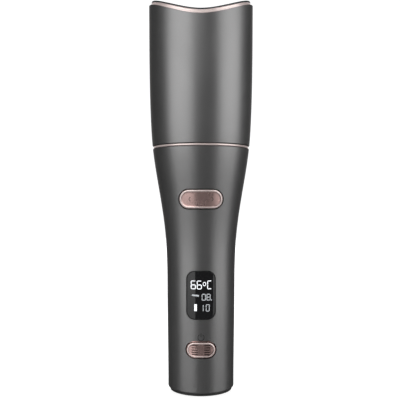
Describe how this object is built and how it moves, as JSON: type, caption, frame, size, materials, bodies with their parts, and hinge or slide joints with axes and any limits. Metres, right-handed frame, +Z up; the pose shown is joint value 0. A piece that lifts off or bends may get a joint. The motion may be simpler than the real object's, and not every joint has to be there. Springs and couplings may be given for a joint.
{
  "type": "automatic hair curler",
  "caption": "Cordless automatic hair curler: a heated barrel with a pronged crown turns inside an open saddle-mouthed head on a slim handle with rocker, display and power button.",
  "frame": {"origin": "centre of the flat base, on the surface it stands on", "axes": "+Z up the handle to the open mouth; the buttons and display face -Y; +X to the right seen from the front"},
  "size_m": [0.065, 0.0648, 0.241],
  "materials": {
    "body_paint": "satin metallic anthracite paint",
    "rose_gold": "satin rose-gold plating",
    "liner_black": "heat-resistant black, fine texture",
    "base_black": "fine texture",
    "pad_rubber": "matt",
    "window_black": "high gloss smoked window",
    "display_black": "gloss",
    "crown_black": "satin",
    "barrel_ceramic": "smooth ceramic coating",
    "board_green": "solder mask",
    "component_black": "moulded",
    "plunger_white": "moulded",
    "cell_wrap": "shrink-wrapped steel can",
    "frame_plastic": "moulded",
    "gear_plastic": "acetal",
    "brass": "turned",
    "steel": "plated",
    "black_steel": "black oxide",
    "core_aluminium": "extruded",
    "element_ceramic": "sintered",
    "lead_silicone": "insulated wire"
  },
  "bodies": {
    "casing": {"handle_front_shell": "body_paint", "handle_rear_shell": "body_paint", "head_shell": "body_paint", "mouth_trim": "rose_gold", "joint_ring": "rose_gold", "chamber_liner": "liner_black", "bottom_cap": "base_black", "base_pad": "pad_rubber", "display_window": "window_black", "display_module": "display_black", "main_board": "board_green", "rocker_board": "board_green", "charge_board": "board_green", "board_components": "component_black", "buzzer": "component_black", "left_switch": "component_black", "right_switch": "component_black", "power_switch": "component_black", "left_cell": "cell_wrap", "right_cell": "cell_wrap", "battery_cradle": "frame_plastic", "gear_plate": "frame_plastic", "floor_bush": "brass", "bottom_cap_screws": "steel", "charge_board_screws": "steel", "main_board_screws": "steel", "rocker_board_screws": "steel", "gear_plate_screws": "steel", "motor_screws": "steel", "liner_screws": "steel", "charge_socket": "steel", "heater_post": "steel", "motor": "steel", "gearbox": "steel", "cell_link": "steel", "rocker_pin": "black_steel", "heater_core": "core_aluminium", "heating_elements": "element_ceramic", "insulating_washer": "element_ceramic", "temperature_sensor": "element_ceramic", "battery_leads": "lead_silicone", "motor_leads": "lead_silicone", "heater_leads": "lead_silicone", "board_ribbon": "lead_silicone"},
    "rotor": {"rotor_gear": "gear_plastic", "gear_clip": "steel", "rotor_hub": "frame_plastic", "curling_barrel": "barrel_ceramic", "winding_crown": "crown_black", "crown_bush": "brass"},
    "pinion": {"motor_pinion": "brass"},
    "rocker": {"rocker_button": "rose_gold"},
    "left_plunger": {"left_switch_plunger": "plunger_white"},
    "right_plunger": {"right_switch_plunger": "plunger_white"},
    "power_cap": {"power_button": "rose_gold"},
    "power_plunger": {"power_switch_plunger": "plunger_white"}
  },
  "joints": [
    {"name": "rotor_spin", "type": "hinge", "parent": "casing", "child": "rotor", "pos_m": [0, 0, 0.165], "axis": [0, 0, 1], "continuous": true},
    {"name": "pinion_spin", "type": "hinge", "parent": "casing", "child": "pinion", "pos_m": [0, 0.0138, 0.155], "axis": [0, 0, 1], "continuous": true},
    {"name": "rocker_tilt", "type": "hinge", "parent": "casing", "child": "rocker", "pos_m": [0, -0.01958, 0.1185], "axis": [0, 0, 1], "range_deg": [-2.5, 2.5], "stiffness_Nm_per_rad": 0.06},
    {"name": "left_plunger_slide", "type": "slide", "parent": "casing", "child": "left_plunger", "axis": [0, 1, 0], "range_m": [-0.0004, 0.0004]},
    {"name": "right_plunger_slide", "type": "slide", "parent": "casing", "child": "right_plunger", "axis": [0, 1, 0], "range_m": [-0.0004, 0.0004]},
    {"name": "power_press", "type": "slide", "parent": "casing", "child": "power_cap", "axis": [0, 1, 0], "range_m": [0, 0.0005], "stiffness_N_per_m": 600},
    {"name": "power_plunger_slide", "type": "slide", "parent": "casing", "child": "power_plunger", "axis": [0, 1, 0], "range_m": [-0.00005, 0.00055]}
  ],
  "couplings": [
    {"joint": "pinion_spin", "follows": "rotor_spin", "ratio": -1.875},
    {"joint": "left_plunger_slide", "follows": "rocker_tilt", "m_per_rad": -0.008},
    {"joint": "right_plunger_slide", "follows": "rocker_tilt", "m_per_rad": 0.008},
    {"joint": "power_plunger_slide", "follows": "power_press", "ratio": 1}
  ]
}
